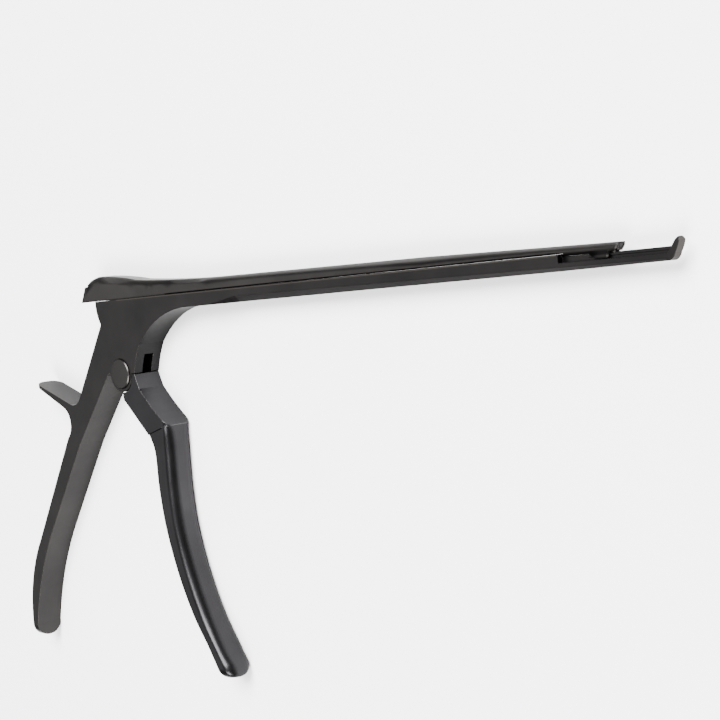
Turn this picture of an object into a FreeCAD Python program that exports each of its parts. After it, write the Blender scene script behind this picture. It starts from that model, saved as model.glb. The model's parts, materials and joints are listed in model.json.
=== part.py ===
import FreeCAD, Part
import math
import os
import re
import sys
import Sketcher

# Take-apart bone rongeur, lying on its far side.
# X runs along the shaft to the biting end, Y from the grip up to the slider, Z across the
# instrument, up to the side with the pivot head. The instrument rests on the plane Z = 0, and
# its datum is the middle of the body's far side. Each sub-part is drawn about its middle plane
# with the pivot at X = 0, Y = 0, then moved down by the datum's height above the pivot and up
# by half the body width.

DIMENSIONS = (
    # Widths across the instrument
    ("body_width", 10.4, "body, grip and finger lever"),
    ("datum_rise", 14.0, "datum on the resting plane, above the pivot"),
    ("shaft_width_rear", 7.5, "shaft where it leaves the body"),
    ("shaft_width_tip", 5.0, "shaft at the end of its side walls"),
    ("nose_width", 2.8, "blade, jaw and footplate"),
    ("slot_width", 3.8, "slot for the tongue of the lever"),
    ("tongue_gap", 0.1, "side clearance of the tongue in the slot"),
    # Stations along the shaft
    ("blend_start", 12.0, "where the body starts to narrow"),
    ("blend_end", 52.0, "where the shaft reaches its own width"),
    ("underside_bevel_start", 66.0, "where the lower bevel is full"),
    ("wall_end", 195.7, "end of the shaft's side walls"),
    ("blade_end", 227.8, "foot of the footplate's cutting face"),
    # Levels above the pivot
    ("seam_rise", 25.9, "top of the fixed shaft"),
    ("slide_gap", 0.06, "running gap under the slider"),
    ("shaft_depth_rear", 4.7, "fixed shaft at the body"),
    ("shaft_depth_tip", 4.3, "fixed shaft at the end of its walls"),
    ("underside_bevel", 2.1, "bevel along the lower edges"),
    ("blade_step", 2.2, "blade top below the seam"),
    ("blade_depth", 1.85, "blade thickness at the footplate"),
    # Guide rail of the blade
    ("rail_neck_width", 1.0, "neck of the guide rail"),
    ("rail_head_width", 1.7, "head of the guide rail"),
    ("rail_neck_rise", 0.75, "neck height"),
    ("rail_head_rise", 0.8, "head height"),
    ("rail_head_start", 204.0, "where the head of the rail begins"),
    ("keel_width", 1.2, "keel of the slider behind its hook"),
    ("rail_gap", 0.1, "clearance of the slider's hook round the rail"),
    # Footplate
    ("bite_lean", 37.0, "lean of the cutting faces from square, degrees"),
    ("footplate_rise", 3.75, "footplate above the blade"),
    ("footplate_foot", 2.15, "footplate thickness at the blade"),
    ("footplate_crown", 0.6, "footplate thickness near its top"),
    ("dish_depth", 0.3, "dish in the footplate's cutting face"),
    ("dish_width", 1.8, "width of the dish and of the jaw's cup"),
    # Body
    ("body_rear", 11.4, "rear end of the body behind the pivot"),
    ("back_notch_x", 9.4, "notch of the back behind the pivot"),
    ("back_notch_y", 17.6, "notch of the back above the pivot"),
    ("back_radius", 14.0, "rounding of the back above the notch"),
    ("throat_x", 8.3, "foot of the hollow front face"),
    ("throat_mid_x", 13.0, "change of curve of the hollow front face"),
    ("throat_mid_y", 9.9, "height of that change"),
    ("throat_end_x", 41.5, "where the hollow front face meets the shaft"),
    ("throat_lower_radius", 36.0, "lower curve of the front face"),
    ("throat_upper_radius", 38.0, "upper curve of the front face"),
    # Hub and pivot
    ("hub_radius", 6.4, "cheeks round the pivot"),
    ("hub_gap", 0.35, "gap between the cheeks and the lever"),
    ("pivot_diameter", 5.0, "shank of the pivot pin"),
    ("pivot_gap", 0.04, "radial clearance of the pivot pin"),
    ("pin_head_diameter", 10.6, "head of the pivot pin"),
    ("pin_head_proud", 0.6, "pin head above the body"),
    ("pin_head_sink", 1.4, "pin head inside the body"),
    ("pin_head_chamfer", 0.35, "chamfer of the pin head"),
    ("seat_gap", 0.03, "radial clearance of heads in their seats"),
    ("lock_head_diameter", 8.0, "head of the pivot screw"),
    ("lock_head_height", 1.3, "height of the pivot screw's head"),
    ("lock_diameter", 2.6, "shank of the pivot screw"),
    ("lock_depth", 5.2, "reach of the pivot screw into the pin"),
    ("driver_slot", 1.0, "width of the driver slot"),
    ("driver_slot_depth", 0.6, "depth of the driver slot"),
    # Grip, which is the fixed rear handle
    ("grip_root_x", 8.6, "top of the grip's front face, behind the pivot"),
    ("grip_root_y", 0.6, "top of the grip's front face, below the pivot"),
    ("grip_knee_x", 31.5, "bend of the grip's front face"),
    ("grip_knee_y", 25.4, "bend of the grip's front face"),
    ("grip_curl_x", 57.0, "start of the grip's curve"),
    ("grip_curl_y", 58.3, "start of the grip's curve"),
    ("grip_end_x", 76.0, "front face at the grip's end"),
    ("grip_end_y", 101.7, "end of the grip below the pivot"),
    ("grip_curl_radius", 107.0, "curve of the grip's front face"),
    ("grip_thickness", 3.2, "grip at its end"),
    ("grip_back_top_x", 39.1, "back of the grip under the spur"),
    ("grip_back_top_y", 23.2, "back of the grip under the spur"),
    ("grip_back_curl_x", 67.0, "start of the back's curve"),
    ("grip_back_curl_y", 63.0, "start of the back's curve"),
    ("grip_back_radius", 56.0, "curve of the back"),
    ("grip_tongue_radius", 4.9, "rounding of the grip's end"),
    # Thumb spur
    ("spur_root_x", 28.2, "back of the body at the spur"),
    ("spur_root_y", 8.2, "back of the body at the spur"),
    ("spur_top_x", 36.0, "start of the spur's upper face"),
    ("spur_top_y", 10.4, "start of the spur's upper face"),
    ("spur_root_radius", 6.0, "hollow above the spur"),
    ("spur_tip_x", 58.6, "tip of the spur"),
    ("spur_tip_y", 2.3, "tip of the spur"),
    ("spur_tip_thickness", 0.9, "thickness of the spur's tip"),
    ("spur_under_x", 40.3, "end of the spur's lower face"),
    ("spur_under_y", 11.6, "end of the spur's lower face"),
    ("spur_under_radius", 6.7, "hollow below the spur"),
    ("spur_corner_radius", 3.8, "rounding of the spur's corners"),
    # Inside of the body
    ("cavity_rear_top", 8.0, "rear of the cavity at the seam"),
    ("cavity_rear_low", 7.7, "rear of the cavity beside the pivot"),
    ("cavity_front_top", 13.2, "front of the cavity at the seam"),
    ("cavity_front_low", 8.6, "front of the cavity above the window"),
    ("window_rise", 6.2, "top of the window in the front face"),
    ("foot_recess_end", 20.4, "front end of the recess for the spring's foot"),
    ("foot_recess_depth", 1.9, "depth of that recess"),
    # Drive
    ("drive_rise", 4.1, "drive pin's arm above the seam"),
    ("drive_rest_angle", 11.0, "lean of the tongue at rest, degrees"),
    ("drive_pin_diameter", 2.8, "drive pin"),
    ("drive_pin_length", 7.6, "drive pin across the slider"),
    ("drive_pin_gap", 0.15, "side clearance of the drive pin in the slider"),
    ("press_gap", 0.01, "radial gap drawn at pressed or screwed fits"),
    ("tongue_top_radius", 2.2, "rounded end of the tongue"),
    ("tongue_foot_radius", 4.6, "tongue at the pivot"),
    ("bite_travel", 16.2, "travel of the slider from open to closed"),
    # Finger lever, the moving front handle
    ("shoulder_drop", 0.35, "gap between the lever's shoulder and the body"),
    ("shoulder_x", 8.0, "front corner of the shoulder"),
    ("brow_x", 10.0, "first bend of the lever's upper face"),
    ("brow_y", 5.4, "first bend of the lever's upper face"),
    ("fold_x", 24.0, "fold of the lever's front face"),
    ("fold_y", 18.3, "fold of the lever's front face"),
    ("fold_brow_radius", 90.0, "hollow of the upper face"),
    ("lever_straight_y", 39.0, "start of the lever's curve"),
    ("lever_front_x", 23.15, "front face there"),
    ("lever_thickness", 7.9, "lever there, front to rear"),
    ("lever_mid_front_x", 30.1, "front face at mid curve"),
    ("lever_mid_front_y", 74.1, "front face at mid curve"),
    ("lever_low_front_x", 40.6, "front face near the end"),
    ("lever_low_front_y", 93.5, "front face near the end"),
    ("lever_toe_x", 44.6, "front corner of the lever's end"),
    ("lever_toe_y", 98.8, "front corner of the lever's end"),
    ("lever_tip_x", 43.4, "lowest point of the lever's end"),
    ("lever_tip_y", 102.2, "lowest point of the lever's end"),
    ("lever_toe_radius", 2.6, "rounding at the front of the end"),
    ("lever_heel_radius", 5.0, "rounding at the rear of the end"),
    ("lever_heel_x", 38.9, "rear of the lever's end"),
    ("lever_heel_y", 98.8, "rear of the lever's end"),
    ("lever_mid_rear_x", 24.3, "rear face at mid curve"),
    ("lever_mid_rear_y", 76.3, "rear face at mid curve"),
    ("lever_bend_y", 28.5, "rear face below its bend"),
    ("lever_elbow_x", 12.8, "rear face above its bend"),
    ("lever_elbow_y", 21.5, "rear face above its bend"),
    ("crotch_x", 0.2, "lever's lower face under the pivot"),
    ("crotch_y", 9.2, "lever's lower face under the pivot"),
    ("lever_front_round", 3.0, "rounding of the lever's front edges"),
    # Slider
    ("slider_rear_x", 20.0, "rear end of the slider behind the pivot"),
    ("slider_ledge_x", 17.0, "top of the rear flange"),
    ("slider_ledge_rise", 5.4, "rear flange above the seam"),
    ("slider_ledge_step", 1.8, "ledge on the rear flange"),
    ("slider_brow_x", 14.6, "lower corner of the rounded back"),
    ("slider_brow_rise", 7.5, "lower corner of the rounded back"),
    ("slider_crown_x", 9.5, "highest part of the back"),
    ("slider_crown_rise", 8.7, "slider above the seam at its back"),
    ("slider_shoulder_rise", 6.2, "slider above the seam where it narrows"),
    ("slider_crown_radius", 175.0, "curve of the slider's back"),
    ("slider_sweep_radius", 700.0, "curve from the back to the shaft"),
    ("slider_neck_rise", 4.15, "slider above the seam at the shaft"),
    ("slider_mid_x", 148.0, "station of the slider's middle height"),
    ("slider_mid_rise", 3.1, "slider above the seam there"),
    ("slider_nose_rise", 1.65, "slider above the seam at its nose"),
    ("slider_bevel", 1.5, "bevel along the slider's shaft"),
    ("slider_back_bevel", 2.5, "bevel along the slider's back"),
    ("nose_x", 214.4, "front of the slider's top"),
    ("jaw_floor", 0.45, "jaw below the seam"),
    ("hook_rear_x", 204.4, "rear of the slider's hook"),
    ("hook_front_x", 211.0, "front of the slider's hook"),
    ("hook_slope", 2.2, "slope of the hook's rear end"),
    ("hook_gap", 0.12, "gap between the hook and the blade"),
    ("cup_height", 1.35, "height of the jaw's cup"),
    ("cup_depth", 7.5, "depth of the jaw's cup"),
    ("cup_floor", 0.05, "cup above the seam"),
    # Rear guide
    ("guide_x", 32.0, "guide stud ahead of the pivot"),
    ("guide_neck_diameter", 2.4, "neck of the guide stud"),
    ("guide_head_diameter", 4.2, "head of the guide stud"),
    ("guide_head_height", 1.1, "head of the guide stud"),
    ("guide_neck_rise", 1.1, "head of the guide stud above the seam"),
    ("guide_depth", 3.4, "guide stud in the shaft"),
    ("guide_gap", 0.15, "clearance of the stud in the slider"),
    ("release_travel", 8.4, "slider's way back to its release"),
    # Return spring
    ("leaf_thickness", 0.5, "leaf of the return spring"),
    ("leaf_width", 3.2, "width of the leaf"),
    ("leaf_gap", 0.12, "leaf off the tongue at rest"),
    ("leaf_tip_rise", 9.5, "free end of the leaf above the pivot"),
    ("leaf_bend_rise", 19.5, "start of the leaf's sweep"),
    ("leaf_wall_gap", 0.25, "leaf off the front wall"),
    ("leaf_foot_end", 19.6, "end of the spring's foot"),
    ("spring_screw_x", 16.6, "screw of the spring's foot"),
    ("spring_screw_diameter", 1.6, "shank of the spring's screw"),
    ("spring_head_diameter", 2.9, "head of the spring's screw"),
    ("spring_head_height", 0.9, "head of the spring's screw"),
    ("spring_screw_depth", 3.0, "spring's screw in the body"),
)

# Sizes that follow from the driving dimensions
DERIVED = {
    "half_body": "(body_width / 2)",
    "half_rear": "(shaft_width_rear / 2)",
    "half_tip": "(shaft_width_tip / 2)",
    "half_nose": "(nose_width / 2)",
    "blend_mid": "((blend_start + blend_end) / 2)",
    "half_mid": "((body_width + shaft_width_rear) / 4)",
    "blend_drop": "((body_width - shaft_width_rear) / 4)",
    "blend_radius": "(((blend_end - blend_start) / 2) ^ 2 / (2 * blend_drop) + blend_drop / 2)",
    "underside": "(seam_rise - shaft_depth_rear)",
    "blade_top": "(seam_rise - blade_step)",
    "rail_head_low": "(blade_top + rail_neck_rise)",
    "rail_top": "(rail_head_low + rail_head_rise)",
    "slider_floor": "(seam_rise + slide_gap)",
    "drive_arm": "(seam_rise + drive_rise)",
    "drive_x": "(-drive_arm * sin(drive_rest_angle * 1 deg))",
    "drive_y": "(drive_arm * cos(drive_rest_angle * 1 deg))",
    "tongue_width": "(slot_width - 2 * tongue_gap)",
    "lever_cove": "(hub_radius + hub_gap)",
    "bite_slope": "(tan(bite_lean * 1 deg))",
    "footplate_top": "(blade_top + footplate_rise)",
    "footplate_edge_x": "(blade_end + footplate_rise * bite_slope)",
    "jaw_floor_y": "(seam_rise - jaw_floor)",
    "crown_sag": "((blend_start + slider_crown_x) ^ 2 / (8 * slider_crown_radius))",
    "sweep_sag": "((blend_end - blend_start) ^ 2 / (8 * slider_sweep_radius))",
    "pocket_top": "(drive_arm + tongue_top_radius + 2 * drive_pin_gap)",
}

DOC = FreeCAD.newDocument("BoneRongeur")
SHEET = DOC.addObject("Spreadsheet::Sheet", "Dimensions")
ALIASES = {name for name, value, note in DIMENSIONS}
ORIGIN = -1
X_AXIS = -1
Y_AXIS = -2


def fill_sheet():
    """Write every driving dimension, with its meaning, into the sheet."""
    for row, (name, value, note) in enumerate(DIMENSIONS, start=1):
        SHEET.set("A%d" % row, note)
        SHEET.set("B%d" % row, str(value))
        SHEET.setAlias("B%d" % row, name)
    DOC.recompute()


def formula(text):
    """Turn a formula in plain words into one that reads the sheet."""
    def link(match):
        word = match.group(0)
        if word in DERIVED:
            return formula(DERIVED[word])
        if word in ALIASES:
            return "Dimensions." + word
        return word
    return re.sub(r"[a-z_]+[a-z0-9_]*", link, str(text))


def value_of(text):
    """Work out a formula's present value."""
    result = SHEET.evalExpression(formula(text))
    return float(getattr(result, "Value", result))


def bind(thing, prop, text):
    """Tie a property to a formula."""
    thing.setExpression(prop, formula(text))


def new_body(label):
    """Start a sub-part, drawn about its middle plane with the pivot at the sketch origin."""
    body = DOC.addObject("PartDesign::Body", label)
    body.Label = label
    bind(body, "Placement.Base.y", "-datum_rise")
    bind(body, "Placement.Base.z", "half_body")
    return body


def new_sketch(body, name, role, offset=None):
    """Start a sketch on one of the body's origin planes, moved off it by a formula."""
    sketch = body.newObject("Sketcher::SketchObject", name)
    planes = [item for item in body.Origin.OriginFeatures if item.Role == role]
    sketch.AttachmentSupport = [(planes[0], "")]
    sketch.MapMode = "FlatFace"
    if offset is not None:
        bind(sketch, "AttachmentOffset.Base.z", offset)
    return sketch


def pin_down(sketch, edge, end, point):
    """Fix one end of an edge at a place given by two formulas."""
    for axis, kind, on_axis, text in ((0, "DistanceX", Y_AXIS, point[0]),
                                      (1, "DistanceY", X_AXIS, point[1])):
        size = value_of(text)
        if text == "0":
            sketch.addConstraint(Sketcher.Constraint("PointOnObject", edge, end, on_axis))
            continue
        index = sketch.addConstraint(Sketcher.Constraint(kind, ORIGIN, 1, edge, end, size))
        bind(sketch, "Constraints[%d]" % index, text)


def heading(dx, dy):
    """Direction of travel as an angle."""
    return math.atan2(dy, dx)


def turned(angle):
    """The same angle between minus and plus half a turn."""
    return (angle + math.pi) % (2 * math.pi) - math.pi


def arc_edge(start, stop, bulge):
    """Arc between two points. bulge is the angle between its start and its chord, and is
    positive where the arc runs anticlockwise."""
    chord = stop - start
    half = chord.Length / 2
    left = FreeCAD.Vector(-chord.y, chord.x, 0).normalize()
    centre = (start + stop) * 0.5 + left * (half / math.tan(bulge))
    first, last = (start, stop) if bulge > 0 else (stop, start)
    angles = [math.atan2(p.y - centre.y, p.x - centre.x) for p in (first, last)]
    ring = Part.Circle(centre, FreeCAD.Vector(0, 0, 1), half / math.sin(abs(bulge)))
    return Part.ArcOfCircle(ring, angles[0], angles[1])


def find_bulges(corners, outline):
    """Work out how far each edge bulges. Straight edges have none, an edge with a radius
    follows from it, and a smooth edge follows from the edge that it runs on from or into."""
    count = len(outline)
    chords = [corners[i] - corners[i - 1] for i in range(count)]
    along = [heading(chord.x, chord.y) for chord in chords]
    bulges = [0.0 if len(item) == 2 else None for item in outline]
    for index, item in enumerate(outline):
        if len(item) == 4:
            ratio = min(chords[index].Length / 2 / value_of(item[2]), 1.0)
            bulges[index] = math.asin(ratio) * item[3]
    while None in bulges:
        before = list(bulges)
        for index, item in enumerate(outline):
            if bulges[index] is not None:
                continue
            near_one = index - 1 if item[2] == "follow" else (index + 1) % count
            if bulges[near_one] is None:
                continue
            if item[2] == "follow":
                bulges[index] = turned(along[index] - along[near_one] - bulges[near_one])
            else:
                bulges[index] = turned(along[near_one] - bulges[near_one] - along[index])
        if before == bulges:
            raise ValueError("a smooth edge has nothing to run on from")
    return bulges


def draw(sketch, outline):
    """Draw one closed outline. Each item is the point where an edge ends, as two formulas.
    An arc adds its radius and its turn, or follow or lead where it runs smoothly on from
    the edge before it or into the edge after it."""
    corners = [FreeCAD.Vector(value_of(item[0]), value_of(item[1]), 0) for item in outline]
    bulges = find_bulges(corners, outline)
    edges = []
    for index, bulge in enumerate(bulges):
        start = corners[index - 1]
        stop = corners[index]
        line = bulge == 0.0
        shape = Part.LineSegment(start, stop) if line else arc_edge(start, stop, bulge)
        edge = sketch.addGeometry(shape, False)
        edges.append((edge, 2, 1) if bulge < 0 else (edge, 1, 2))
    smooth = {(i - 1) % len(outline) if item[2] == "follow" else i
              for i, item in enumerate(outline) if len(item) == 3}
    for index, item in enumerate(outline):
        edge, first, last = edges[index]
        following = edges[(index + 1) % len(edges)]
        kind = "Tangent" if index in smooth else "Coincident"
        sketch.addConstraint(Sketcher.Constraint(kind, edge, last, following[0],
                                                 following[1]))
        if len(item) == 4:
            size = sketch.addConstraint(Sketcher.Constraint("Radius", edge,
                                                            value_of(item[2])))
            bind(sketch, "Constraints[%d]" % size, item[2])
        pin_down(sketch, edge, last, item)


def circle(sketch, x, y, radius):
    """Draw a circle whose centre and radius are formulas."""
    centre = FreeCAD.Vector(value_of(x), value_of(y), 0)
    edge = sketch.addGeometry(Part.Circle(centre, FreeCAD.Vector(0, 0, 1), value_of(radius)))
    size = sketch.addConstraint(Sketcher.Constraint("Radius", edge, value_of(radius)))
    bind(sketch, "Constraints[%d]" % size, radius)
    pin_down(sketch, edge, 3, (x, y))


def rectangle(x1, y1, x2, y2):
    """Outline of a rectangle between two corners."""
    return ((x2, y1), (x2, y2), (x1, y2), (x1, y1))


def finish_feature(body, feature, name):
    """Name a feature, make it the tip and rebuild."""
    feature.Label = name
    body.Tip = feature
    DOC.recompute()
    return feature


def side_pad(body, name, outlines, width):
    """Plate drawn in side view, as wide as a formula, about the middle plane."""
    sketch = new_sketch(body, name + "Outline", "XY_Plane")
    for outline in outlines:
        draw(sketch, outline)
    pad = body.newObject("PartDesign::Pad", name)
    pad.Profile = sketch
    pad.SideType = "Symmetric"
    bind(pad, "Length", width)
    return finish_feature(body, pad, name)


def side_pocket(body, name, outlines, width, role="XY_Plane"):
    """Cut drawn in side view, as wide as a formula, about the middle plane."""
    sketch = new_sketch(body, name + "Outline", role)
    for outline in outlines:
        draw(sketch, outline)
    pocket = body.newObject("PartDesign::Pocket", name)
    pocket.Profile = sketch
    pocket.SideType = "Symmetric"
    bind(pocket, "Length", width)
    return finish_feature(body, pocket, name)


def round_pad(body, name, x, y, radius, base, height, role="XY_Plane"):
    """Disc or pin that rises from a level: along Z, or along Y from the XZ plane."""
    sketch = new_sketch(body, name + "Outline", role, base)
    circle(sketch, x, y, radius)
    pad = body.newObject("PartDesign::Pad", name)
    pad.Profile = sketch
    pad.Reversed = role == "XZ_Plane"
    bind(pad, "Length", height)
    return finish_feature(body, pad, name)


def round_pocket(body, name, x, y, radius, base, depth, upwards, role="XY_Plane"):
    """Round hole from a level, along the sketch's normal where upwards is true."""
    sketch = new_sketch(body, name + "Outline", role, base)
    circle(sketch, x, y, radius)
    pocket = body.newObject("PartDesign::Pocket", name)
    pocket.Profile = sketch
    pocket.Reversed = upwards
    bind(pocket, "Length", depth)
    return finish_feature(body, pocket, name)


def loft(body, name, sections, ruled, kind="PartDesign::AdditiveLoft"):
    """Solid or cut carried through cross-sections. Each is a station and its outline."""
    sketches = []
    for index, (station, outline) in enumerate(sections):
        sketch = new_sketch(body, "%sSection%d" % (name, index), "YZ_Plane", station)
        draw(sketch, outline)
        sketches.append(sketch)
    DOC.recompute()
    feature = body.newObject(kind, name)
    feature.Profile = sketches[0]
    feature.Sections = sketches[1:]
    feature.Ruled = ruled
    return finish_feature(body, feature, name)


def edges_where(shape, test):
    """Names of the edges whose middle point and length pass a test."""
    names = []
    for index, edge in enumerate(shape.Edges, start=1):
        middle = edge.valueAt((edge.FirstParameter + edge.LastParameter) / 2)
        if test(middle, edge):
            names.append("Edge%d" % index)
    return names


def soften(body, name, kind, size, test):
    """Fillet or chamfer of the edges that pass a test."""
    base = body.Tip
    names = edges_where(base.Shape, test)
    feature = body.newObject(kind, name)
    feature.Base = (base, names)
    bind(feature, "Radius" if kind.endswith("Fillet") else "Size", size)
    return finish_feature(body, feature, name)


def round_corners(body, name, role, base, depth, upwards, corner, sides, radius):
    """Round outer corners off with one cut along the sketch's normal. sides gives, for each
    corner, whether it lies on the greater or the lesser side of the sketch's two axes."""
    sketch = new_sketch(body, name + "Outline", role, base)
    for across, along in sides:
        x = "%d * (%s)" % (across[0], corner[0]) if across[1] else corner[0]
        y = "%d * (%s)" % (along[0], corner[1]) if along[1] else corner[1]
        sx, sy = across[0], along[0]
        draw(sketch, (
            ("%s + %d * 0.5" % (x, sx), "%s + %d * 0.5" % (y, sy)),
            ("%s - %d * %s" % (x, sx, radius), "%s + %d * 0.5" % (y, sy)),
            ("%s - %d * %s" % (x, sx, radius), "%s" % y),
            ("%s" % x, "%s - %d * %s" % (y, sy, radius), radius, -sx * sy),
            ("%s + %d * 0.5" % (x, sx), "%s - %d * %s" % (y, sy, radius)),
        ))
    pocket = body.newObject("PartDesign::Pocket", name)
    pocket.Profile = sketch
    pocket.Reversed = upwards
    bind(pocket, "Length", depth)
    return finish_feature(body, pocket, name)


def near(value, target, slack=0.05):
    """Whether two numbers agree."""
    return abs(value - target) < slack


def shaft_section(half, low, high, bevel):
    """Section of the fixed shaft: flat top, bevelled lower edges."""
    return (("%s" % high, "-%s" % half),
            ("%s" % high, "%s" % half),
            ("%s + %s" % (low, bevel), "%s" % half),
            ("%s" % low, "%s - %s" % (half, bevel)),
            ("%s" % low, "-(%s - %s)" % (half, bevel)),
            ("%s + %s" % (low, bevel), "-%s" % half))


def slider_section(half, top, bevel_drop, bevel_inset):
    """Section of the slider: flat underside, bevelled upper edges."""
    low = "slider_floor"
    return (("%s" % low, "%s" % half),
            ("%s - %s" % (top, bevel_drop), "%s" % half),
            ("%s" % top, "%s - %s" % (half, bevel_inset)),
            ("%s" % top, "-(%s - %s)" % (half, bevel_inset)),
            ("%s - %s" % (top, bevel_drop), "-%s" % half),
            ("%s" % low, "-%s" % half))


def blend_cut(end, side):
    """Plan view of what is cut off one side where the body narrows to the shaft."""
    sign = "" if side > 0 else "-"
    far = "%s(half_body + 2)" % sign
    return ((end, far),
            ("blend_start", far),
            ("blend_start", "%shalf_body" % sign),
            ("blend_mid", "%shalf_mid" % sign, "blend_radius", -side),
            ("blend_end", "%shalf_rear" % sign, "blend_radius", side),
            (end, "%shalf_rear" % sign))


def taper(first, last, start, stop, station):
    """Formula of a size that changes evenly between two stations."""
    return "(%s + (%s - %s) * (%s - %s) / (%s - %s))" % (first, last, first, station, start,
                                                      stop, start)


def build_frame():
    """Fixed half: body with its cheeks, grip, thumb spur, lower shaft, blade and footplate."""
    body = new_body("frame")
    outline = (
        # Back of the body, down to the thumb spur
        ("-body_rear", "seam_rise"),
        ("-back_notch_x", "back_notch_y", "back_radius", 1),
        ("-spur_root_x", "-spur_root_y"),
        ("-spur_top_x", "-spur_top_y", "spur_root_radius", -1),
        ("-spur_tip_x", "-spur_tip_y"),
        ("-spur_tip_x", "-(spur_tip_y + spur_tip_thickness)"),
        ("-spur_under_x", "-spur_under_y"),
        ("-grip_back_top_x", "-grip_back_top_y", "spur_under_radius", -1),
        # Grip
        ("-grip_back_curl_x", "-grip_back_curl_y"),
        ("-(grip_end_x + grip_thickness)", "-(grip_end_y - 4)", "grip_back_radius", 1),
        ("-(grip_end_x + grip_thickness)", "-grip_end_y"),
        ("-grip_end_x", "-grip_end_y"),
        ("-grip_end_x", "-(grip_end_y - 5)"),
        ("-grip_curl_x", "-grip_curl_y", "grip_curl_radius", -1),
        ("-grip_knee_x", "-grip_knee_y"),
        ("-grip_root_x", "-grip_root_y"),
        # Cheeks round the pivot
        ("-hub_radius", "0", "(grip_root_x - hub_radius) * 0.6", -1),
        ("0", "-hub_radius", "hub_radius", 1),
        ("hub_radius", "0", "hub_radius", 1),
        ("throat_x", "0"),
        # Hollow front face, up to the shaft
        ("throat_mid_x", "throat_mid_y", "throat_lower_radius", -1),
        ("throat_end_x", "underside", "throat_upper_radius", -1),
        ("blend_end", "underside"),
        ("blend_end", "seam_rise"),
    )
    side_pad(body, "BodyPlate", [outline], "body_width")
    end = "(blend_end + 1)"
    side_pocket(body, "BodyBlend", [blend_cut(end, 1), blend_cut(end, -1)], "400", "XZ_Plane")
    station = "underside_bevel_start"
    half = taper("half_rear", "half_tip", "blend_end", "wall_end", station)
    low = "(seam_rise - %s)" % taper("shaft_depth_rear", "shaft_depth_tip", "blend_end",
                                     "wall_end", station)
    tip_low = "(seam_rise - shaft_depth_tip)"
    blade_low = "(blade_top - blade_depth)"
    loft(body, "LowerShaft", [
        ("blend_end", shaft_section("half_rear", "underside", "seam_rise", "0.1")),
        (station, shaft_section(half, low, "seam_rise", "underside_bevel")),
        ("wall_end", shaft_section("half_tip", tip_low, "seam_rise", "underside_bevel * 0.5")),
    ], True)
    loft(body, "Blade", [
        ("wall_end", shaft_section("half_tip", tip_low, "blade_top", "underside_bevel * 0.5")),
        ("blade_end", shaft_section("half_nose", blade_low, "blade_top",
                                    "underside_bevel * 0.25")),
    ], True)
    side_pad(body, "RailNeck", [rectangle("wall_end - 1", "blade_top - 0.3",
                                          "blade_end + 0.3", "rail_head_low")],
             "rail_neck_width")
    side_pad(body, "RailShoulder", [rectangle("wall_end - 1", "rail_head_low - 0.1",
                                              "rail_head_start + 0.1", "rail_top")],
             "rail_neck_width")
    side_pad(body, "RailHead", [rectangle("rail_head_start", "rail_head_low",
                                          "blade_end + (rail_top - blade_top) * bite_slope + 0.1",
                                          "rail_top")],
             "rail_head_width")
    side_pocket(body, "KeelGroove", [rectangle("wall_end - release_travel - 0.4", "rail_top",
                                               "wall_end + 1", "seam_rise + 1")],
                "keel_width + 2 * rail_gap")
    add_footplate(body, blade_low)
    hollow_body(body)
    round_grip(body)
    return body


def add_footplate(body, blade_low):
    """Footplate that leans forward over the end of the blade, with its shallow dish."""
    foot_x = "(blade_end + footplate_foot)"
    side_pad(body, "Footplate", [(
        ("blade_end - 0.6", "%s" % blade_low),
        ("blade_end + 0.4", "%s" % blade_low),
        ("%s" % foot_x, "blade_top", "2.6", 1),
        ("footplate_edge_x + footplate_crown", "footplate_top - 1.0", "9", 1),
        ("footplate_edge_x + footplate_crown - 0.3", "footplate_top"),
        ("footplate_edge_x", "footplate_top"),
        ("blade_end", "blade_top"),
        ("blade_end - 0.6", "blade_top"),
    )], "nose_width")
    round_corners(body, "FootplateCrown", "YZ_Plane", "footplate_edge_x + 4", "8", False,
                  ("footplate_top", "half_nose"), (((1, False), (1, True)),
                                                   ((1, False), (-1, True))),
                  "nose_width * 0.4")
    dish = (
        ("blade_end + (rail_top - blade_top + 0.3) * bite_slope", "rail_top + 0.3"),
        ("blade_end + (rail_top - blade_top + 0.3) * bite_slope + dish_depth",
         "rail_top + 0.3"),
        ("footplate_edge_x - 0.5 * bite_slope + dish_depth", "footplate_top - 0.5"),
        ("footplate_edge_x - 0.5 * bite_slope", "footplate_top - 0.5"),
    )
    side_pocket(body, "FootplateDish", [dish], "dish_width")


def hollow_body(body):
    """Slot for the tongue, recesses for the spring, and the bores of the pivot."""
    cavity = (
        ("-cavity_rear_top", "seam_rise + 1"),
        ("-cavity_rear_low", "0"),
        ("0", "-cavity_rear_low", "cavity_rear_low", 1),
        ("throat_x + 2", "-cavity_rear_low"),
        ("throat_x + 12", "0"),
        ("throat_x + 12", "window_rise"),
        ("cavity_front_low", "window_rise"),
        ("cavity_front_top", "seam_rise + 1"),
    )
    side_pocket(body, "TongueSlot", [cavity], "slot_width")
    side_pocket(body, "SpringRecess", [rectangle("cavity_front_low",
                                                 "seam_rise - foot_recess_depth",
                                                 "foot_recess_end", "seam_rise + 1")],
                "slot_width")
    round_pocket(body, "PivotBore", "0", "0", "pivot_diameter / 2 + pivot_gap",
                 "half_body", "body_width", False)
    round_pocket(body, "PinSeat", "0", "0", "pin_head_diameter / 2 + seat_gap",
                 "half_body", "pin_head_sink", False)
    round_pocket(body, "LockSeat", "0", "0", "lock_head_diameter / 2 + seat_gap",
                 "-half_body", "lock_head_height + 0.1", True)
    deep = "spring_screw_depth + 0.3"
    round_pocket(body, "SpringScrewHole", "spring_screw_x", "0",
                 "spring_screw_diameter / 2 + press_gap",
                 "-(seam_rise - foot_recess_depth)", deep, True, "XZ_Plane")
    round_pocket(body, "GuideHole", "guide_x", "0", "guide_neck_diameter / 2 + press_gap",
                 "-seam_rise", "guide_depth + 0.2", True, "XZ_Plane")


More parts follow.
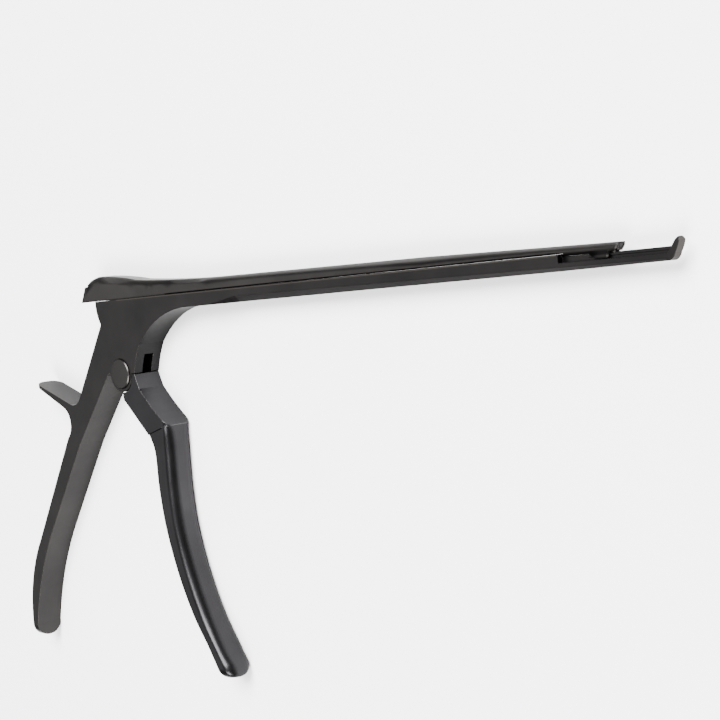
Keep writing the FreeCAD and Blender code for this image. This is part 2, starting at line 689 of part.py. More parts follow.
def round_grip(body):
    """Rounded end of the grip and rounded corners of the thumb spur."""
    end_y = -value_of("grip_end_y")
    half = value_of("half_body")
    soften(body, "GripTongue", "PartDesign::Fillet", "grip_tongue_radius",
           lambda point, edge: near(point.y, end_y) and near(abs(point.z), half))
    round_corners(body, "SpurCorners", "XZ_Plane", "-(spur_tip_y * 0.4)", "8", True,
                  ("-spur_tip_x", "half_body"), (((-1, False), (1, True)),
                                                 ((-1, False), (-1, True))),
                  "spur_corner_radius")


def build_slider():
    """Sliding half: back with its flange, upper shaft, hook and hollow cutting jaw."""
    body = new_body("slider")
    crown = "(seam_rise + slider_crown_rise)"
    neck = "(seam_rise + slider_neck_rise)"
    shoulder = "(seam_rise + slider_shoulder_rise)"
    nose = "(seam_rise + slider_nose_rise)"
    side_pad(body, "BackPlate", [(
        ("-slider_rear_x", "slider_floor"),
        ("blend_end", "slider_floor"),
        ("blend_end", neck),
        ("blend_start", shoulder, "slider_sweep_radius", -1),
        ("-slider_crown_x", crown, "slider_crown_radius", 1),
        ("-slider_rear_x", crown),
    )], "body_width")
    end = "(blend_end + 1)"
    side_pocket(body, "BackBlend", [blend_cut(end, 1), blend_cut(end, -1)], "400", "XZ_Plane")
    bevel_back(body, crown, shoulder, neck)
    middle = "(seam_rise + slider_mid_rise)"
    middle_half = taper("half_rear", "half_tip", "blend_end", "wall_end", "slider_mid_x")
    loft(body, "UpperShaft", [
        ("blend_end", slider_section("half_rear", neck, "slider_bevel", "slider_bevel")),
        ("slider_mid_x", slider_section(middle_half, middle, "slider_bevel", "slider_bevel")),
        ("wall_end", slider_section("half_tip", taper(middle, nose, "slider_mid_x", "nose_x",
                                                      "wall_end"),
                                    "slider_bevel * 0.8", "slider_bevel * 0.8")),
        ("nose_x + 1", slider_section("half_nose", nose, "slider_bevel * 0.5",
                                      "slider_bevel * 0.5")),
    ], True)
    trim = (
        ("-slider_rear_x", "seam_rise - 1"),
        ("-slider_rear_x", "slider_floor + 0.1"),
        ("-slider_ledge_x", "seam_rise + slider_ledge_rise"),
        ("-(slider_ledge_x - slider_ledge_step)", "seam_rise + slider_ledge_rise + 0.2"),
        ("-slider_brow_x", "seam_rise + slider_brow_rise"),
        ("-slider_crown_x", "%s + 0.05" % crown, "12", -1),
        ("-slider_crown_x", "%s + 6" % crown),
        ("-(slider_rear_x + 4)", "%s + 6" % crown),
        ("-(slider_rear_x + 4)", "seam_rise - 1"),
    )
    side_pocket(body, "BackTrim", [trim], "body_width + 2")
    add_hook(body)
    face = (
        ("nose_x - (slider_nose_rise + jaw_floor) * bite_slope", "jaw_floor_y"),
        ("nose_x + 4", "jaw_floor_y"),
        ("nose_x + 4", "%s + 1" % nose),
        ("nose_x + bite_slope", "%s + 1" % nose),
    )
    side_pocket(body, "CuttingFace", [face], "nose_width + 2")
    cut_slider_pockets(body)
    return body


def bevel_back(body, crown, shoulder, neck):
    """Bevel along both upper edges of the slider's back, which shrinks towards the shaft."""
    sag = "(slider_neck_rise - slider_shoulder_rise) / 4"
    waist = "((%s + %s) / 2 - sweep_sag)" % (shoulder, neck)
    stations = (
        ("(-slider_rear_x - 1)", crown, "half_body", "1"),
        ("-slider_crown_x", crown, "half_body", "1"),
        ("((blend_start - slider_crown_x) / 2)", "((%s + %s) / 2 + crown_sag)" % (crown, shoulder),
         "half_body", "0.75"),
        ("blend_start", shoulder, "half_body", "0.4"),
        ("((blend_start + blend_mid) / 2)", "(%s + (%s) - 0.75 * sweep_sag)" % (shoulder, sag),
         "(half_body - blend_drop / 4)", "0.2"),
        ("blend_mid", waist, "half_mid", "0.1"),
        ("((blend_mid + blend_end) / 2)", "(%s - (%s) - 0.75 * sweep_sag)" % (neck, sag),
         "(half_rear + blend_drop / 4)", "0.05"),
        ("(blend_end + 0.001)", neck, "half_rear", "0"),
    )
    for side, name in ((1, "NearBevel"), (-1, "FarBevel")):
        sections = []
        for station, top, half, share in stations:
            size = "(slider_bevel + (slider_back_bevel - slider_bevel) * %s)" % share
            edge = "%d * %s" % (side, half)
            inner = "%d * (%s - %s)" % (side, half, size)
            outer = "%d * (%s + 2)" % (side, half)
            sections.append((station, (
                ("%s - %s" % (top, size), edge), (top, inner), ("%s + 2" % top, inner),
                ("%s + 2" % top, outer), ("%s - %s" % (top, size), outer))))
        loft(body, name, sections, True, "PartDesign::SubtractiveLoft")


def add_hook(body):
    """Hook under the nose that grips the head of the guide rail, and the floor of the jaw."""
    low = "(blade_top + hook_gap)"
    side_pad(body, "Hook", [(
        ("hook_rear_x", "slider_floor + 0.3"),
        ("hook_rear_x", "jaw_floor_y"),
        ("hook_rear_x + hook_slope", low),
        ("hook_front_x - 0.6", low),
        ("hook_front_x", "jaw_floor_y"),
        ("nose_x", "jaw_floor_y"),
        ("nose_x", "slider_floor + 0.3"),
    )], "nose_width")
    side_pad(body, "Keel", [rectangle("wall_end + 0.4", "rail_top + rail_gap",
                                      "hook_rear_x + 0.3", "slider_floor + 0.3")],
             "keel_width")
    side_pocket(body, "HookNeck", [rectangle("hook_rear_x - 1", "blade_top - 1",
                                             "nose_x + 1", "rail_head_low")],
                "rail_neck_width + 2 * rail_gap")
    side_pocket(body, "HookHead", [rectangle("hook_rear_x - 1", "rail_head_low - rail_gap",
                                             "nose_x + 1", "rail_top + rail_gap")],
                "rail_head_width + 2 * rail_gap")


def cut_slider_pockets(body):
    """Cup of the jaw, pocket of the tongue, slots of the drive pin and way of the stud."""
    low = "(seam_rise - 1)"
    sketch = new_sketch(body, "CupOutline", "YZ_Plane", "nose_x + 1")
    half_cup = "((dish_width - cup_height) / 2)"
    bottom = "(seam_rise + cup_floor)"
    top = "(seam_rise + cup_floor + cup_height)"
    middle = "(seam_rise + cup_floor + cup_height / 2)"
    draw(sketch, (
        (bottom, half_cup),
        (middle, "dish_width / 2", "cup_height / 2", -1),
        (top, half_cup, "cup_height / 2", -1),
        (top, "-%s" % half_cup),
        (middle, "-dish_width / 2", "cup_height / 2", -1),
        (bottom, "-%s" % half_cup, "cup_height / 2", -1),
    ))
    cup = body.newObject("PartDesign::Pocket", "Cup")
    cup.Profile = sketch
    bind(cup, "Length", "cup_depth + 1")
    finish_feature(body, cup, "Cup")
    side_pocket(body, "TonguePocket", [rectangle(
        "drive_x - tongue_top_radius - 2.2", low, "drive_x + tongue_top_radius + 1.5",
        "pocket_top")], "slot_width + 0.2")
    reach = "(drive_pin_diameter / 2 + drive_pin_gap)"
    side_pocket(body, "DrivePinSlots", [(
        ("drive_x - %s" % reach, low),
        ("drive_x + %s" % reach, low),
        ("drive_x + %s" % reach, "drive_arm"),
        ("drive_x", "drive_arm + %s" % reach, reach, 1),
        ("drive_x - %s" % reach, "drive_arm", reach, 1),
    )], "drive_pin_length + 0.4")
    rear = "(guide_x - bite_travel - guide_head_diameter / 2 - guide_gap - 0.4)"
    front = "(guide_x + release_travel)"
    neck = "(guide_neck_diameter + 2 * guide_gap)"
    head_low = "(seam_rise + guide_neck_rise - guide_gap)"
    head_top = "(seam_rise + guide_neck_rise + guide_head_height + guide_gap)"
    side_pocket(body, "GuideNeckWay", [rectangle(rear, low, front, head_top)], neck)
    side_pocket(body, "GuideHeadWay", [rectangle(rear, head_low, front, head_top)],
                "guide_head_diameter + 2 * guide_gap")
    round_pocket(body, "GuideEntry", front, "0", "guide_head_diameter / 2 + guide_gap",
                 "-(%s)" % low, "%s - %s" % (head_top, low), False, "XZ_Plane")


def build_finger_lever():
    """Moving front handle: full-width lever, and the tongue that reaches into the slider."""
    body = new_body("finger_lever")
    rear_straight = "(lever_front_x - lever_thickness)"
    outline = (
        ("shoulder_x", "-shoulder_drop"),
        ("brow_x", "-brow_y"),
        ("fold_x", "-fold_y", "fold_brow_radius", 1),
        # Front face, down to the end
        ("lever_front_x", "-(lever_straight_y - 3)", "lead"),
        ("lever_front_x", "-lever_straight_y"),
        ("lever_mid_front_x", "-lever_mid_front_y", "follow"),
        ("lever_low_front_x", "-lever_low_front_y", "follow"),
        ("lever_toe_x + 4", "-(lever_toe_y + 5.6)", "follow"),
        ("lever_heel_x + 4", "-(lever_heel_y + 8)"),
        ("lever_heel_x", "-lever_heel_y"),
        # Rear face, up to the crotch
        ("lever_mid_rear_x", "-lever_mid_rear_y", "lead"),
        (rear_straight, "-lever_straight_y", "lead"),
        (rear_straight, "-lever_bend_y"),
        ("lever_elbow_x", "-lever_elbow_y", "follow"),
        ("crotch_x", "-crotch_y"),
        ("0", "-lever_cove"),
        ("lever_cove", "-shoulder_drop", "lever_cove", 1),
    )
    side_pad(body, "Lever", [outline], "body_width")
    soften_lever(body)
    tongue = (
        ("drive_x + tongue_top_radius * cos(drive_rest_angle * 1 deg)",
         "drive_y + tongue_top_radius * sin(drive_rest_angle * 1 deg)"),
        ("drive_x - tongue_top_radius * sin(drive_rest_angle * 1 deg)",
         "drive_y + tongue_top_radius * cos(drive_rest_angle * 1 deg)",
         "tongue_top_radius", 1),
        ("drive_x - tongue_top_radius * cos(drive_rest_angle * 1 deg)",
         "drive_y - tongue_top_radius * sin(drive_rest_angle * 1 deg)",
         "tongue_top_radius", 1),
        ("-tongue_foot_radius * cos(drive_rest_angle * 1 deg)",
         "-tongue_foot_radius * sin(drive_rest_angle * 1 deg)"),
        ("0", "-tongue_foot_radius", "tongue_foot_radius", 1),
        ("crotch_x + 2", "-(crotch_y + 0.6)"),
        ("brow_x - 1.5", "-(brow_y + 1)"),
        ("lever_cove + 0.4", "-(shoulder_drop + 0.3)"),
        ("tongue_foot_radius * cos(drive_rest_angle * 1 deg)",
         "tongue_foot_radius * sin(drive_rest_angle * 1 deg)"),
    )
    side_pad(body, "Tongue", [tongue], "tongue_width")
    round_pocket(body, "PivotEye", "0", "0", "pivot_diameter / 2 + pivot_gap", "half_body",
                 "body_width", False)
    round_pocket(body, "DriveEye", "drive_x", "drive_y",
                 "drive_pin_diameter / 2 + press_gap", "half_body", "body_width", False)
    return body


def soften_lever(body):
    """Round the lever's front edges below the fold, as far as its end."""
    half = value_of("half_body")
    fold = -value_of("fold_y")
    rear_x = value_of("lever_front_x - lever_thickness")
    middle = (
        (fold, value_of("fold_x") - 3.0),
        (-value_of("lever_straight_y"), (value_of("lever_front_x") + rear_x) / 2),
        (-value_of("lever_mid_front_y"), value_of("lever_mid_front_x") - 4.5),
        (-value_of("lever_low_front_y"), value_of("lever_low_front_x") - 3.5),
        (-value_of("lever_tip_y + 8"), value_of("lever_tip_x + 4")),
    )

    def middle_at(y):
        for upper, lower in zip(middle, middle[1:]):
            if lower[0] <= y <= upper[0]:
                share = (upper[0] - y) / (upper[0] - lower[0])
                return upper[1] + share * (lower[1] - upper[1])
        return 1000.0

    def front_edge(point, edge):
        return near(abs(point.z), half) and point.y < fold and point.x > middle_at(point.y)
    soften(body, "LeverRounding", "PartDesign::Fillet", "lever_front_round", front_edge)
    side_pocket(body, "LeverEnd", [(
        ("lever_tip_x", "-lever_tip_y", "lever_toe_radius", -1),
        ("lever_heel_x", "-lever_heel_y", "lever_heel_radius", -1),
        ("lever_heel_x", "-(lever_heel_y + 10)"),
        ("lever_toe_x + 8", "-(lever_heel_y + 10)"),
        ("lever_toe_x + 8", "-lever_toe_y"),
        ("lever_toe_x", "-lever_toe_y"),
    )], "body_width + 2")


def build_pivot_pin():
    """Pin with a broad flat head on the near side and a threaded end."""
    body = new_body("pivot_pin")
    seat = "(half_body - pin_head_sink)"
    round_pad(body, "Head", "0", "0", "pin_head_diameter / 2", seat,
              "pin_head_sink + pin_head_proud")
    top = value_of("half_body + pin_head_proud")
    soften(body, "HeadChamfer", "PartDesign::Chamfer", "pin_head_chamfer",
           lambda point, edge: near(point.z, top))
    low = "(-half_body + lock_head_height + 0.25)"
    round_pad(body, "Shank", "0", "0", "pivot_diameter / 2", low, "%s - %s" % (seat, low))
    round_pocket(body, "Thread", "0", "0", "lock_diameter / 2 + press_gap", low,
                 "lock_depth + 0.5", True)
    return body


def build_pivot_screw():
    """Slotted screw that locks the pivot pin from the far side."""
    body = new_body("pivot_screw")
    low = "(-half_body + 0.1)"
    round_pad(body, "Head", "0", "0", "lock_head_diameter / 2", low, "lock_head_height")
    round_pad(body, "Shank", "0", "0", "lock_diameter / 2",
              "(%s + lock_head_height)" % low, "lock_depth")
    sketch = new_sketch(body, "DriverSlotOutline", "XY_Plane", low)
    draw(sketch, rectangle("-lock_head_diameter", "-driver_slot / 2", "lock_head_diameter",
                           "driver_slot / 2"))
    slot = body.newObject("PartDesign::Pocket", "DriverSlot")
    slot.Profile = sketch
    slot.Reversed = True
    bind(slot, "Length", "driver_slot_depth")
    finish_feature(body, slot, "DriverSlot")
    return body


def build_drive_pin():
    """Cross pin in the end of the tongue, which pushes the slider."""
    body = new_body("drive_pin")
    round_pad(body, "Pin", "drive_x", "drive_y", "drive_pin_diameter / 2",
              "-drive_pin_length / 2", "drive_pin_length")
    ends = value_of("drive_pin_length / 2")
    soften(body, "PinEnds", "PartDesign::Chamfer", "0.25",
           lambda point, edge: near(abs(point.z), ends))
    return body


def build_return_spring():
    """Leaf spring: foot under its screw, leaf down the front wall, free end on the tongue."""
    body = new_body("return_spring")
    foot_low = "(seam_rise - foot_recess_depth)"
    foot_top = "(%s + leaf_thickness)" % foot_low
    wall = "(cavity_front_top - (cavity_front_top - cavity_front_low) * (foot_recess_depth" \
           " + 1) / (seam_rise + 1 - window_rise) - leaf_wall_gap)"
    lean = "((cavity_front_top - cavity_front_low) / (seam_rise + 1 - window_rise))"
    bend_x = "(%s - leaf_wall_gap - (%s - leaf_bend_rise) * %s)" % (wall, foot_low, lean)
    tip_x = "(tongue_foot_radius + 0.35 - leaf_tip_rise *" \
            " (tan(drive_rest_angle * 1 deg) + 0.085) + leaf_gap)"
    thick = "leaf_thickness"
    outline = (
        ("leaf_foot_end", foot_low),
        ("leaf_foot_end", foot_top),
        ("%s - %s" % (wall, thick), foot_top),
        ("%s - %s" % (bend_x, thick), "leaf_bend_rise"),
        ("%s - %s * 0.2" % (tip_x, thick), "leaf_tip_rise", "16.5", -1),
        ("%s + %s * 0.8" % (tip_x, thick), "leaf_tip_rise"),
        (bend_x, "leaf_bend_rise", "17", 1),
        (wall, foot_low),
    )
    side_pad(body, "Leaf", [outline], "leaf_width")
    round_pocket(body, "FootEye", "spring_screw_x", "0",
                 "spring_screw_diameter / 2 + press_gap", "-(%s)" % foot_low,
                 "leaf_thickness + 1", False, "XZ_Plane")
    return body


def build_spring_screw():
    """Small screw that holds the foot of the return spring."""
    body = new_body("spring_screw")
    foot_top = "(seam_rise - foot_recess_depth + leaf_thickness)"
    deep = "(leaf_thickness + spring_screw_depth)"
    round_pad(body, "Head", "spring_screw_x", "0", "spring_head_diameter / 2",
              "-%s" % foot_top, "spring_head_height", "XZ_Plane")
    round_pad(body, "Shank", "spring_screw_x", "0", "spring_screw_diameter / 2",
              "-(%s - %s)" % (foot_top, deep), deep, "XZ_Plane")
    return body


def build_guide_stud():
    """Headed stud in the shaft that keeps the rear of the slider down."""
    body = new_body("guide_stud")
    low = "(seam_rise - guide_depth)"
    round_pad(body, "Shank", "guide_x", "0", "guide_neck_diameter / 2", "-%s" % low,
              "guide_depth + guide_neck_rise + 0.1", "XZ_Plane")
    round_pad(body, "Head", "guide_x", "0", "guide_head_diameter / 2",
              "-(seam_rise + guide_neck_rise)", "guide_head_height", "XZ_Plane")
    return body


def faults(body):
    """List what is wrong with a finished sub-part."""
    found = []
    for item in [body] + list(body.Group):
        if {"Invalid", "Error"} & set(item.State):
            found.append("%s: %s" % (item.Label, ", ".join(item.State)))
    if not found and (body.Shape.isNull() or not body.Shape.isValid()):
        found.append("%s: its shape is not valid" % body.Label)
    if not found and len(body.Shape.Solids) != 1:
        found.append("%s: %d solids" % (body.Label, len(body.Shape.Solids)))
    return found


def main():
    """Build every sub-part, check it and write it."""
    fill_sheet()
    bodies = [build() for build in (build_frame, build_slider, build_finger_lever,
                                    build_pivot_pin, build_pivot_screw, build_drive_pin,
                                    build_return_spring, build_spring_screw,
                                    build_guide_stud)]
    DOC.recompute()
    found = [line for body in bodies for line in faults(body)]
    if found:
        sys.exit("\n".join(found))
    os.makedirs("parts", exist_ok=True)
    for body in bodies:
        body.Shape.exportStep("parts/%s.step" % body.Label)


main()
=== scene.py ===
"""Dressed model of a take-apart bone rongeur that lies on its far side.

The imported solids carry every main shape. This script gives each of them its finish, puts a
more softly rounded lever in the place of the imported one, adds two fine pieces at the tip, and
sets up the floor, the studio light and the camera.
Lengths are in metres, in the frame of the solids.
"""
from __future__ import annotations

import json
import logging
import math
from dataclasses import dataclass, field
from enum import Enum
from typing import Any, Sequence

import bmesh
import bpy
import numpy as np
from mathutils import Matrix, Vector

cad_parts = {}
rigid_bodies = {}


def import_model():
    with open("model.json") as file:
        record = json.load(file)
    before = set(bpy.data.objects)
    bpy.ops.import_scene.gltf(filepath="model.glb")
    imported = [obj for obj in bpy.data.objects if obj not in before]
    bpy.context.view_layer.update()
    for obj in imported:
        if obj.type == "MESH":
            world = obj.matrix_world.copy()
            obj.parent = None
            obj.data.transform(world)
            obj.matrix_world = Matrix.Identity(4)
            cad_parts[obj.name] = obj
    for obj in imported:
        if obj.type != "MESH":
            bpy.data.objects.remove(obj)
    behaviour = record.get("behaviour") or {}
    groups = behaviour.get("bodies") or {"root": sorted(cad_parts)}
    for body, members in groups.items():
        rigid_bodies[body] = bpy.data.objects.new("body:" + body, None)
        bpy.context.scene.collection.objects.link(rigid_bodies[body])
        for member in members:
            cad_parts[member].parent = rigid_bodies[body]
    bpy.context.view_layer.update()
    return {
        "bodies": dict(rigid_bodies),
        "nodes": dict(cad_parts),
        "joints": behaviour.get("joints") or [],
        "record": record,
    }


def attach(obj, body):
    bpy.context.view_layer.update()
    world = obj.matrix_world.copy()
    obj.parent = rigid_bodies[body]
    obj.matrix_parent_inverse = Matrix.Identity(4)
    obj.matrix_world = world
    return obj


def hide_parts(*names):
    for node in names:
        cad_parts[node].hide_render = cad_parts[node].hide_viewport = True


LOG = logging.getLogger("rongeur")
MM = 0.001
DATUM_RISE = 14.0
BODY_WIDTH = 10.4
WELD = 0.002 * MM
CLOUD_WAVES = 45.0
FLECK_WAVES = 900.0
MARK_WAVES = 2600.0
BRUSH_WAVES = 1800.0
MARK_DEPTH = 0.02 * MM
EVERYWHERE = (-200.0, 100.0)
Colour = tuple[float, float, float]
Spot = tuple[float, float]


class Grain(Enum):
    """Direction in which a surface was ground before it was coated."""

    ALONG = (1.0, 0.0, 0.0)
    UP = (0.0, 1.0, 0.0)
    NONE = (0.0, 0.0, 0.0)


class Sock:
    """A node socket that takes part in plain arithmetic."""

    def __init__(self, shader: "Shader", socket: bpy.types.NodeSocket) -> None:
        """Keep the socket and the shader that it belongs to.

        Args:
            shader: Shader whose nodes are being linked.
            socket: Output socket that holds the value.
        """
        self.shader = shader
        self.socket = socket

    def _op(self, operation: str, *values: Any) -> "Sock":
        """Add one Math node.

        Args:
            operation: Operation of the Math node.
            *values: Numbers or sockets that it works on.

        Returns:
            The result.
        """
        return self.shader.math(operation, *values)

    def __add__(self, other: Any) -> "Sock":
        """Sum."""
        return self._op("ADD", self, other)

    __radd__ = __add__

    def __sub__(self, other: Any) -> "Sock":
        """Difference."""
        return self._op("SUBTRACT", self, other)

    def __rsub__(self, other: Any) -> "Sock":
        """Difference the other way round."""
        return self._op("SUBTRACT", other, self)

    def __mul__(self, other: Any) -> "Sock":
        """Product."""
        return self._op("MULTIPLY", self, other)

    __rmul__ = __mul__

    def clamp(self) -> "Sock":
        """The value held between 0 and 1."""
        result = self._op("ADD", self, 0.0)
        result.socket.node.use_clamp = True
        return result

    def rise(self, low: float, high: float) -> "Sock":
        """A smooth step from 0 at low to 1 at high."""
        return self.shader.node("ShaderNodeMapRange", {"interpolation_type": "SMOOTHSTEP"},
                                {"Value": self, "From Min": low, "From Max": high})


class Shader:
    """A material's node tree, with one method that adds any node."""

    def __init__(self, name: str) -> None:
        """Start a material with only its output and its main shader.

        Args:
            name: Name of the material.
        """
        self.material = bpy.data.materials.new(name)
        self.material.use_nodes = True
        self.tree = self.material.node_tree
        self.tree.nodes.clear()
        output = self.tree.nodes.new("ShaderNodeOutputMaterial")
        self.surface = self.tree.nodes.new("ShaderNodeBsdfPrincipled")
        self.tree.links.new(self.surface.outputs["BSDF"], output.inputs["Surface"])

    def put(self, socket: bpy.types.NodeSocket, value: Any) -> None:
        """Link a socket to a value, or set its number."""
        if isinstance(value, Sock):
            self.tree.links.new(value.socket, socket)
        else:
            socket.default_value = value

    def node(self, kind: str, settings: dict[str, Any], values: dict[Any, Any],
             out: Any = 0) -> Sock:
        """Add one node.

        Args:
            kind: Type of the node.
            settings: Settings of the node, which are made first.
            values: Numbers or links of its sockets, by name or by place.
            out: Name or place of the wanted output.

        Returns:
            That output.
        """
        item = self.tree.nodes.new(kind)
        for key, value in settings.items():
            setattr(item, key, value)
        for key, value in values.items():
            self.put(item.inputs[key], value)
        return Sock(self, item.outputs[out])

    def math(self, operation: str, *values: Any) -> Sock:
        """Add one Math node."""
        return self.node("ShaderNodeMath", {"operation": operation},
                         dict(enumerate(values)))

    def blend(self, factor: Any, first: Any, second: Any) -> Sock:
        """Mix two colours.

        Args:
            factor: Share of the second colour.
            first: Colour or socket.
            second: Colour or socket.

        Returns:
            The mixed colour.
        """
        first, second = (value if isinstance(value, Sock) else (*value, 1.0)
                         for value in (first, second))
        return self.node("ShaderNodeMix", {"data_type": "RGBA"},
                         {0: factor, 6: first, 7: second}, 2)

    def place(self, stretch: Colour = (1.0, 1.0, 1.0)) -> Sock:
        """Place on the object, stretched along its axes."""
        spot = self.node("ShaderNodeTexCoord", {}, {}, "Object")
        return self.node("ShaderNodeMapping", {"vector_type": "POINT"},
                         {"Vector": spot, "Scale": stretch})

    def noise(self, scale: float, detail: float = 2.0, rough: float = 0.5,
              stretch: Colour = (1.0, 1.0, 1.0)) -> Sock:
        """Noise between 0 and 1, with scale in waves to the metre."""
        return self.node("ShaderNodeTexNoise", {},
                         {"Vector": self.place(stretch), "Scale": scale, "Detail": detail,
                          "Roughness": rough}, "Fac")


@dataclass(frozen=True)
class Band:
    """Strip of a surface painted lighter or darker, between two heights and two stations.

    Attributes:
        low: Lowest and highest height above the pivot, in millimetres.
        along: First and last station, in millimetres.
        fade: Width over which the strip runs out, in millimetres.
        colour: Colour of the strip.
        front_only: Whether only faces that look forward have it.
    """

    low: Spot
    along: Spot
    fade: float
    colour: Colour
    front_only: bool = False

    def mask(self, shader: Shader) -> Sock:
        """Share of the strip's colour at each place.

        The share is a smooth step up and a smooth step down in height, times the same along
        the shaft.

        Args:
            shader: Shader that the strip belongs to.

        Returns:
            A value between 0 and 1.
        """
        spot = shader.node("ShaderNodeTexCoord", {}, {}, "Object")
        share: Any = 1.0
        for name, (start, end), shift in (("Y", self.low, DATUM_RISE), ("X", self.along, 0.0)):
            value = shader.node("ShaderNodeSeparateXYZ", {}, {"Vector": spot}, name)
            first, last = ((edge - shift) * MM for edge in (start, end))
            fade = self.fade * MM
            share = share * value.rise(first - fade, first) * (
                1.0 - value.rise(last, last + fade))
        if self.front_only:
            facing = shader.node("ShaderNodeTexCoord", {}, {}, "Normal")
            forward = shader.node("ShaderNodeSeparateXYZ", {}, {"Vector": facing}, "X")
            share = share * forward.rise(0.4, 0.7)
        return share


@dataclass(frozen=True)
class CoatedSteel:
    """Steel under a thin dark hard coating, satin, with lighter edges that are partly worn and
    partly a painted highlight.

    Attributes:
        name: Name of the material.
        dark: Colour of the coating where it is densest.
        light: Colour of the coating where it is thinnest.
        edge: Colour along the edges, partly wear where the coating is thinnest and partly a
            painted highlight.
        rough: Roughness of the finish.
        grain: Direction of the grinding marks.
        edge_width: Width of the softened edges, in metres.
        edge_share: How much of the edge colour shows.
        edge_end: Station past which the edges get neither the wear nor the painted highlight, in
            millimetres.
        bands: Strips of painted highlight and painted shade.
        glance: Brightness of reflections that only glance off the coat.
    """

    name: str
    dark: Colour
    light: Colour
    edge: Colour
    rough: float
    grain: Grain = Grain.NONE
    edge_width: float = 0.25 * MM
    edge_share: float = 0.6
    edge_end: float = 190.0
    bands: tuple[Band, ...] = ()
    glance: float = 0.62

    def build(self) -> bpy.types.Material:
        """Make the material.

        Returns:
            The finished material.
        """
        shader = Shader(self.name)
        cloud = shader.noise(CLOUD_WAVES, 3.0, 0.6)
        fleck = shader.noise(FLECK_WAVES, 3.0, 0.65)
        coat = shader.blend((cloud * 1.5 - 0.25).clamp(), self.dark, self.light)
        rounded = shader.node("ShaderNodeBevel", {"samples": 6},
                              {"Radius": self.edge_width}, "Normal")
        flat = shader.node("ShaderNodeNewGeometry", {}, {}, "Normal")
        straight = shader.node("ShaderNodeVectorMath", {"operation": "DOT_PRODUCT"},
                               {0: rounded, 1: flat}, "Value")
        # Painted highlight and wear together: edges found from the bevel normal take the edge
        # colour, up to the station edge_end.
        wear_and_highlight_reach = Band(EVERYWHERE, (EVERYWHERE[0], self.edge_end), 4.0, self.edge).mask(shader)
        edges = (1.0 - straight).rise(0.004, 0.09) * (fleck * 0.5 + 0.65) * self.edge_share
        coat = shader.blend((edges * wear_and_highlight_reach).clamp(), coat, self.edge)
        # Each band paints a strip of highlight or shade into the coat.
        for band in self.bands:
            coat = shader.blend(band.mask(shader), coat, band.colour)
        shader.put(shader.surface.inputs["Base Color"], coat)
        shader.surface.inputs["Metallic"].default_value = 1.0
        shader.surface.inputs["Specular Tint"].default_value = (
            self.glance, self.glance, self.glance, 1.0)
        marks = self.marks(shader, fleck)
        shader.put(shader.surface.inputs["Roughness"],
                   (self.rough + (cloud - 0.5) * 0.10 + (marks - 0.5) * 0.08).clamp())
        bump = shader.node("ShaderNodeBump", {}, {"Strength": 0.12, "Distance": MARK_DEPTH,
                                                  "Height": marks, "Normal": rounded})
        shader.put(shader.surface.inputs["Normal"], bump)
        return shader.material

    def marks(self, shader: Shader, fleck: Sock) -> Sock:
        """Fine marks of the grinding or blasting under the coating.

        Args:
            shader: Shader that the marks belong to.
            fleck: Fine noise without direction.

        Returns:
            Height of the marks, between 0 and 1.
        """
        if self.grain is Grain.NONE:
            return fleck
        along = np.array(self.grain.value)
        stretch = tuple(float(v) for v in 1.0 - 0.96 * along)
        lines = shader.noise(MARK_WAVES, 2.0, 0.6, stretch)
        return lines * 0.75 + fleck * 0.25


@dataclass(frozen=True)
class BareSteel:
    """Plain stainless steel, brushed.

    Attributes:
        name: Name of the material.
        colour: Colour of the metal.
        rough: Roughness of the finish.
    """

    name: str
    colour: Colour
    rough: float

    def build(self) -> bpy.types.Material:
        """Make the material.

        Returns:
            The finished material.
        """
        shader = Shader(self.name)
        lines = shader.noise(BRUSH_WAVES, 3.0, 0.6, (0.08, 1.0, 1.0))
        tone = tuple(0.8 * value for value in self.colour)
        shader.put(shader.surface.inputs["Base Color"],
                   shader.blend(lines, tone, self.colour))
        shader.surface.inputs["Metallic"].default_value = 1.0
        shader.put(shader.surface.inputs["Roughness"], (self.rough + lines * 0.12).clamp())
        bump = shader.node("ShaderNodeBump", {}, {"Strength": 0.1, "Distance": MARK_DEPTH,
                                                  "Height": lines})
        shader.put(shader.surface.inputs["Normal"], bump)
        return shader.material


BODY_COAT = CoatedSteel(
    "body_coat", (0.0155, 0.0150, 0.0152), (0.0270, 0.0256, 0.0250), (0.055, 0.050, 0.046),
    0.34, Grain.UP,
    # Painted highlight: a light line along the frame's top edge just under the seam.
    bands=(Band((25.55, 26.2), (2.0, 195.0), 0.12, (0.045, 0.041, 0.037)),
           # Painted shade: forward-facing faces of the body between stations 5 and 60 mm are
           # darker.
           Band((-30.0, 24.0), (5.0, 60.0), 1.0, (0.0120, 0.0118, 0.0122), True),
           # Painted light: the forward-facing face of the footplate is lighter.
           Band((0.0, 40.0), (226.0, 240.0), 0.4, (0.031, 0.0285, 0.027), True)))
SLIDER_COAT = CoatedSteel(
    "slider_coat", (0.0235, 0.0222, 0.0222), (0.040, 0.0375, 0.036), (0.060, 0.055, 0.051),
    0.32, Grain.ALONG, edge_width=1.1 * MM, edge_share=0.25,
    # Painted shade: a near-black line along the slider's lower edge, standing in for the shaded
    # gap at the seam.
    bands=(Band((25.7, 26.3), (30.0, 195.7), 0.15, (0.0008, 0.0007, 0.0007)),))
LEVER_COAT = CoatedSteel(
    "lever_coat", (0.0145, 0.0141, 0.0150), (0.026, 0.0252, 0.0268), (0.09, 0.088, 0.088),
    0.30, Grain.UP)
PIN_COAT = CoatedSteel("pin_coat", (0.021, 0.0198, 0.0195), (0.035, 0.0325, 0.0318),
                       (0.12, 0.11, 0.10), 0.30)
STEEL = BareSteel("plain_steel", (0.40, 0.40, 0.41), 0.28)


